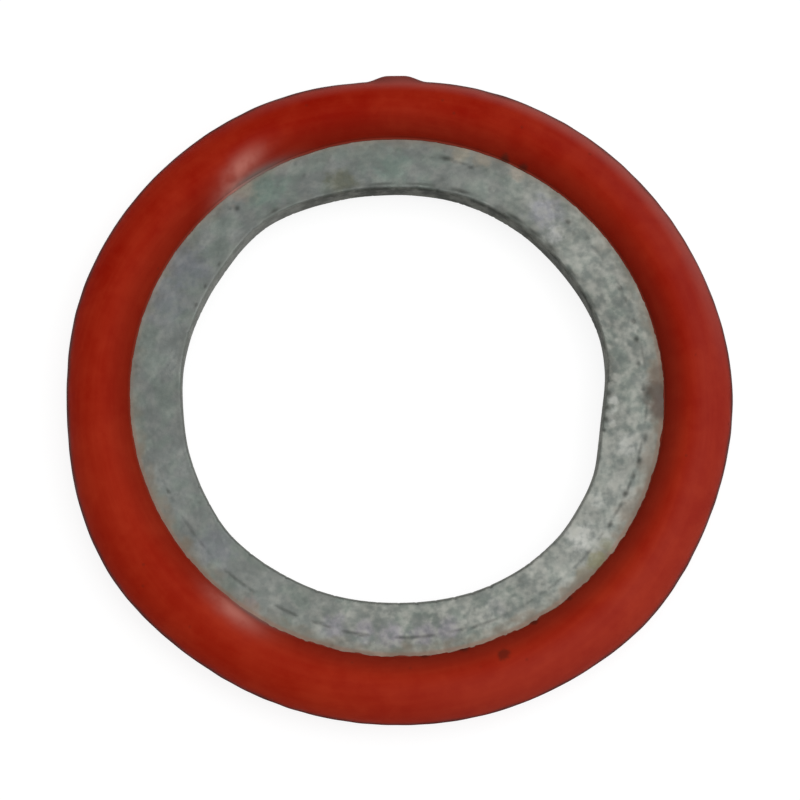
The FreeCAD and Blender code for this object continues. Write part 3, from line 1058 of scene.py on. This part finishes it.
@dataclass
class RubberBead:
    """The red bead, moulded on the ring's rim, with its foot on both faces and a nub outside."""

    heart: float
    thick: float
    toe: float
    half: float
    rim: float
    nub_top: float
    nub_base: float = 5.6 * MM
    nub_crown: float = 3.1 * MM
    nub_high: float = 3.4 * MM
    nub_deg: float = 90.0
    nub_worn: float = 0.16 * MM
    lean_deg: float = 110.0
    edge_over_mm: float = 0.05
    edge_lean_mm: float = 0.07
    edge_slow_mm: float = 0.035
    edge_quick_mm: float = 0.022
    edge_bite_mm: float = 0.14
    ragged_deg: float = 305.0
    outline_shade_deg: float = 19.0
    outline_shade_tilt_deg: float = 14.0
    outline_shade_width_deg: float = 30.0
    outline_shade_ragged_deg: float = 1.2
    outline_shade_off_nub: float = 0.45
    fillet_deg: float = 150.0
    feather: float = 0.03 * MM
    parting: float = 0.05 * MM
    unevenness: float = 0.006 * MM
    around: int = 1400
    swellings_mm: tuple[Rise, ...] = (
        Rise(214.0, 13.0, 0.38),
        Rise(318.0, 12.0, 0.28),
        Rise(3.0, 16.0, 0.25),
        Rise(178.0, 12.0, -0.36),
        Rise(268.0, 16.0, -0.12),
        Rise(188.0, 9.0, -0.18),
        Rise(92.0, 13.0, -0.36),
    )
    # Painted glints on the bead's inner flank at two places, and their grey ends at the foot.
    painted_glint: tuple[GlintPlace, ...] = (
        GlintPlace(124.0, 124.0, 2.4, 1.1, 0.9, 0.80),
        GlintPlace(127.0, 152.0, 2.6, 1.5, 0.5, 0.85),
        GlintPlace(234.0, 130.0, 3.0, 1.1, -0.5, 0.75),
    )
    grey_glint: tuple[GlintPlace, ...] = (
        GlintPlace(122.5, 158.0, 3.6, 0.80, 0.3, 1.10),
        GlintPlace(237.5, 158.0, 3.0, 0.75, -0.3, 0.80),
    )

    def section(self) -> tuple[np.ndarray, np.ndarray, np.ndarray, np.ndarray]:
        """Works out the bead's section, anticlockwise from its outermost point.

        The dome is a circle of radius thick round the bead's heart. Where it comes near the steel, a
        cubic curve leaves it along its tangent and lands flat on the face, as a feathered foot. A slot
        the size of the ring's rim joins the two feet.

        Returns:
            Radius, height, the section angle of each point in radians, and how much each point follows
            the foot's edge, from 0 on the dome to 1 at the edge.
        """
        fine = np.array([0.0, 0.9, 1.8, 3.0, 5.0])
        upper = np.radians(np.concatenate([fine, np.linspace(9.0, self.fillet_deg, 24)]))
        lower = np.radians(np.concatenate([fine[1:], np.linspace(10.0, self.fillet_deg, 15)]))
        foot_r, foot_z, foot_share = self.foot(7)
        slot_r = np.array([self.toe + 0.02 * MM, self.toe + 0.4 * MM, self.rim - 0.05 * MM, self.rim])
        slot_z = np.array([self.half, self.half, self.half, self.half - 0.05 * MM])
        slot_share = np.array([1.0, 0.3, 0.0, 0.0])
        dome_r = self.heart + self.thick * np.cos(upper)
        dome_z = self.thick * np.sin(upper)
        under_r = self.heart + self.thick * np.cos(lower)
        under_z = self.thick * np.sin(lower)
        radii = np.concatenate([dome_r, foot_r, slot_r, slot_r[::-1], foot_r[::-1], under_r[::-1]])
        heights = np.concatenate([dome_z, foot_z, slot_z, -slot_z[::-1], -foot_z[::-1], -under_z[::-1]])
        last = np.full(foot_r.size + slot_r.size, math.radians(self.fillet_deg))
        angles = np.concatenate([upper, last, -last, -lower[::-1]])
        share = np.concatenate([np.zeros(upper.size), foot_share, slot_share,
                                slot_share[::-1], foot_share[::-1], np.zeros(lower.size)])
        return radii, heights, angles, share

    def foot(self, count: int) -> tuple[np.ndarray, np.ndarray, np.ndarray]:
        """Works out the foot: a cubic Bezier curve from the dome's last point to the steel.

        Args:
            count: Number of points, without the dome's last one.

        Returns:
            Radius, height and share of the way, squared.
        """
        end = math.radians(self.fillet_deg)
        start = np.array([self.heart + self.thick * math.cos(end), self.thick * math.sin(end)])
        down = np.array([-math.sin(end), math.cos(end)])
        stop = np.array([self.toe, self.half + self.feather])
        pull = start + down * 0.26 * MM
        land = stop + np.array([0.20 * MM, 0.01 * MM])
        t = np.linspace(0.0, 1.0, count + 1)[1:, None]
        rest = 1.0 - t
        curve = rest ** 3 * start + 3 * rest ** 2 * t * pull + 3 * rest * t ** 2 * land + t ** 3 * stop
        return curve[:, 0], curve[:, 1], t[:, 0] ** 2

    def build(self, finish: RubberFinish, effects: Effects) -> bpy.types.Object:
        """Makes the bead and dresses it.

        Args:
            finish: Its finish.
            effects: The shared node groups.

        Returns:
            The piece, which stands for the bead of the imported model.
        """
        turns = np.linspace(0.0, 2.0 * math.pi, self.around, endpoint=False)
        column = turns[:, None]
        flat_r, flat_z, angles, share = self.section()
        on_dome = smooth_step(math.radians(self.fillet_deg) + 0.02 - np.abs(angles), 0.0, 0.3)
        on_dome = on_dome * (share == 0.0)
        push = ripple(column, angles * self.thick, 2.2 * MM, 50, 51) + waver(turns, 12, 90, 20, 52)[:, None]
        push = push * self.unevenness
        radii = flat_r + push * on_dome * np.cos(angles)
        heights = flat_z + push * on_dome * np.sin(angles)
        swell = MM * sum(swelling.at(turns) for swelling in self.swellings_mm)
        radii = radii + swell[:, None] * (0.5 + 0.5 * np.cos(angles)) * on_dome
        radii = radii + self.parting * bell(flat_z, 0.10 * MM) * on_dome
        radii = radii + self.edge_run(turns)[:, None] * share
        radii = self.raise_nub(column, radii, heights, self.nub_top - self.nub_worn + swell[:, None])
        heights = np.clip(heights, -self.thick, self.thick)
        piece = ring_mesh("rubber_bead_skin", radii, heights, turns)
        above = np.where(heights > 0.0, 1.0, 0.0)
        mark_points(piece, "painted_glint", self.spread_glints(turns, angles, self.painted_glint) * above)
        mark_points(piece, "grey_glint", self.spread_glints(turns, angles, self.grey_glint) * above)
        # The painted shade round the outline, stored for the material.
        mark_points(piece, "rim", self.paint_outline_shade(column, angles))
        piece.data.materials.append(finish.dress(effects))
        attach(piece, "root")
        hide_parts("rubber_bead")
        return piece

    def edge_run(self, turns: np.ndarray) -> np.ndarray:
        """Returns how far the foot's edge moves outwards at each turn, below 0 where it runs inwards."""
        lean = -self.edge_over_mm - self.edge_lean_mm * np.cos(turns - math.radians(self.lean_deg))
        slow = self.edge_slow_mm * waver(turns, 6, 45, 16, 61)
        quick = self.edge_quick_mm * waver(turns, 40, 190, 36, 62)
        bites = self.edge_bite_mm * smooth_step(waver(turns, 20, 150, 30, 63), 0.9, 2.2)
        ragged = 0.3 + 0.7 * smooth_step(np.cos(turns - math.radians(self.ragged_deg)), -0.1, 0.7)
        return (lean + (slow + quick + bites) * ragged) * MM

    def raise_nub(self, turns: np.ndarray, radii: np.ndarray, heights: np.ndarray,
                  top: np.ndarray) -> np.ndarray:
        """Raises the nub out of the bead's outside.

        Seen along the bore axis the nub is a flat crown between two smooth shoulders. With x the
        distance along the rim from its middle, points move from their radius towards the top by
        w(x) * w(z), both smooth steps.

        Args:
            turns: Angles round the bore, as a column.
            radii: Radii of the bead.
            heights: Heights of the bead.
            top: Radius of the nub's crown at each turn, as a column.

        Returns:
            The new radii.
        """
        along = np.abs(turn_gap(turns, self.nub_deg)) * (self.heart + self.thick)
        plan = 1.0 - smooth_step(along, self.nub_crown / 2.0 - 0.75 * MM, self.nub_base / 2.0 + 0.35 * MM)
        upright = 1.0 - smooth_step(np.abs(heights), self.nub_high / 2.0 - 0.8 * MM,
                                    self.nub_high / 2.0 + 0.5 * MM)
        outside = smooth_step(radii, self.heart + 0.45 * self.thick, self.heart + 0.85 * self.thick)
        return radii + np.maximum(top - radii, 0.0) * plan * upright * outside

    def paint_outline_shade(self, turns: np.ndarray, angles: np.ndarray) -> np.ndarray:
        """Works out the painted shade that lies round the bead's outermost line, thinner on the nub.

        It is a band outline_shade_width_deg wide on the section. Its upper edge stands at a section angle
        of outline_shade_deg + outline_shade_tilt_deg * sin(turn), which keeps it on the outline that the
        camera sees.

        Args:
            turns: Angles round the bore, as a column.
            angles: Section angle of each point of the section.

        Returns:
            A grid of strengths from 0 to 1.
        """
        limit = self.outline_shade_deg + self.outline_shade_tilt_deg * np.sin(turns)
        limit += self.outline_shade_ragged_deg * waver(turns[:, 0], 8, 60, 16, 71)[:, None]
        below = limit - np.degrees(angles)[None, :]
        band = smooth_step(below, -11.0, 7.0) * (1.0 - smooth_step(below - self.outline_shade_width_deg, -9.0, 9.0))
        on_nub = bell(turn_gap(turns, self.nub_deg) * (self.heart + self.thick), 3.0 * MM)
        return band * (1.0 - self.outline_shade_off_nub * on_nub)

    def spread_glints(self, turns: np.ndarray, angles: np.ndarray, places: tuple[GlintPlace, ...]) -> np.ndarray:
        """Works out how much of a painted glint each grid point has.

        Each is exp(-(u / length)^2 - (v / width)^2), with v measured across the section, and u along
        the ring, sheared by slant times v.

        Args:
            turns: Angles round the bore.
            angles: Section angle of each point of the section.
            places: The painted glints.

        Returns:
            A grid of strengths from 0 to 1.
        """
        total = np.zeros((turns.size, angles.size))
        for place in places:
            across = (angles - math.radians(place.flank_deg))[None, :] * self.thick
            along = turn_gap(turns, place.turn_deg)[:, None] * self.heart - place.slant * across
            near = bell(along, place.length_mm * MM) * bell(across, place.width_mm * MM)
            total = np.maximum(total, place.strength * near)
        return np.minimum(total, 1.0)


@dataclass(frozen=True)
class Lamp:
    """A soft square lamp that looks at the middle of the gasket."""

    name: str
    azimuth_deg: float
    elevation_deg: float
    distance: float
    size: float
    power: float

    def hang(self) -> None:
        """Puts the lamp in its place."""
        light = bpy.data.lights.new(self.name, "AREA")
        light.size = self.size
        light.energy = self.power
        lamp = bpy.data.objects.new(self.name, light)
        bpy.context.scene.collection.objects.link(lamp)
        azimuth, elevation = math.radians(self.azimuth_deg), math.radians(self.elevation_deg)
        level = math.cos(elevation)
        back = Vector((math.cos(azimuth) * level, math.sin(azimuth) * level, math.sin(elevation)))
        aim = back.to_track_quat("Z", "Y").to_matrix().to_4x4()
        lamp.matrix_world = Matrix.Translation(back * self.distance) @ aim


@dataclass(frozen=True)
class Camera:
    """The camera, at the photograph's angle."""

    azimuth_deg: float = -6.0
    elevation_deg: float = 75.4
    roll_deg: float = 6.0
    distance: float = 0.5
    lens_mm: float = 231.0
    shift_x: float = 0.0041
    shift_y: float = -0.0031

    def stand(self) -> None:
        """Sets the camera up and makes it the scene's own.

        With azimuth a and elevation e, it looks along -(sin a cos e, -cos a cos e, sin e) at the world
        origin, and is then rolled about that line.
        """
        lens = bpy.data.cameras.new("camera")
        lens.lens = self.lens_mm
        lens.shift_x, lens.shift_y = self.shift_x, self.shift_y
        lens.clip_start, lens.clip_end = 0.01, 50.0
        camera = bpy.data.objects.new("camera", lens)
        bpy.context.scene.collection.objects.link(camera)
        a, e, roll = (math.radians(x) for x in (self.azimuth_deg, self.elevation_deg, self.roll_deg))
        back = Vector((math.sin(a) * math.cos(e), -math.cos(a) * math.cos(e), math.sin(e)))
        level = Vector((math.cos(a), math.sin(a), 0.0))
        upright = back.cross(level)
        right = level * math.cos(roll) + upright * math.sin(roll)
        up = upright * math.cos(roll) - level * math.sin(roll)
        turn = Matrix((right, up, back)).transposed().to_4x4()
        camera.matrix_world = Matrix.Translation(back * self.distance) @ turn
        bpy.context.scene.camera = camera


@dataclass
class Studio:
    """The pale floor, the soft light and the camera."""

    floor_height: float
    floor_reach: float = 3.0
    overhead: Colour = rgb(0.40, 0.40, 0.40)
    horizon: Colour = rgb(0.80, 0.80, 0.80)
    lamps: tuple[Lamp, ...] = (
        Lamp("key_lamp", 6.0, 73.0, 0.75, 0.70, 3.7),
    )
    camera: Camera = Camera()

    def build(self) -> bpy.types.Object:
        """Makes the floor, the world, the lamps and the camera.

        Returns:
            The floor.
        """
        floor = self.lay_floor()
        self.paint_world()
        for lamp in self.lamps:
            lamp.hang()
        self.camera.stand()
        bpy.context.scene.view_settings.view_transform = "Standard"
        return floor

    def lay_floor(self) -> bpy.types.Object:
        """Lays one flat square under the gasket.

        Returns:
            The floor.
        """
        reach = self.floor_reach
        corners = np.array([(-1, -1), (1, -1), (1, 1), (-1, 1)]) * reach
        points = np.column_stack([corners, np.full(4, self.floor_height)])
        mesh = bpy.data.meshes.new("floor")
        mesh.from_pydata(points.tolist(), [], [(0, 1, 2, 3)])
        mesh.materials.append(FloorFinish().dress())
        floor = bpy.data.objects.new("floor", mesh)
        bpy.context.scene.collection.objects.link(floor)
        return floor

    def paint_world(self) -> None:
        """Paints the surroundings: pale at the horizon and a mid grey higher up."""
        world = bpy.data.worlds.new("studio")
        world.use_nodes = True
        bpy.context.scene.world = world
        wiring = Wiring(world.node_tree)
        aim = wiring.add("TexCoord").outputs["Generated"]
        rise = wiring.add("SeparateXYZ", {0: aim}).outputs[2]
        share = wiring.span(rise, 0.02, 0.28)
        colour = wiring.blend(share, self.horizon, self.overhead)
        glow = wiring.add("Background", {"Color": colour, "Strength": 1.0}).outputs[0]
        wiring.add("OutputWorld", {"Surface": glow})


def main() -> None:
    """Builds the gasket's pieces in order, then the studio, and notes the sizes."""
    logging.basicConfig(level=logging.INFO, format="%(message)s")
    bore = next(mount for mount in frame["record"]["mounts"] if mount["name"] == "bore")
    ring_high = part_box("steel_ring")[1]
    bead_low, bead_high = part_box("rubber_bead")
    thick = bead_high.z
    heart = -bead_low.y - thick
    half = ring_high.z
    toe = heart - math.sqrt(thick ** 2 - half ** 2)
    effects = Effects()

    ring = SteelRing(bore=bore["dims"]["r_mm"] * MM, rim=ring_high.x, half=half, toe=toe)
    piece = ring.build(ZincFinish(), effects)
    LOG.info("%s: %d faces, rim at %.2f mm", piece.name, len(piece.data.polygons), ring_high.x / MM)

    bead = RubberBead(heart=heart, thick=thick, toe=toe, half=half, rim=ring_high.x, nub_top=bead_high.y)
    piece = bead.build(RubberFinish(), effects)
    LOG.info("%s: %d faces, foot at %.2f mm", piece.name, len(piece.data.polygons), toe / MM)

    floor = Studio(floor_height=bead_low.z).build()
    LOG.info("%s: at %.2f mm", floor.name, bead_low.z / MM)


if __name__ == "__main__":
    main()
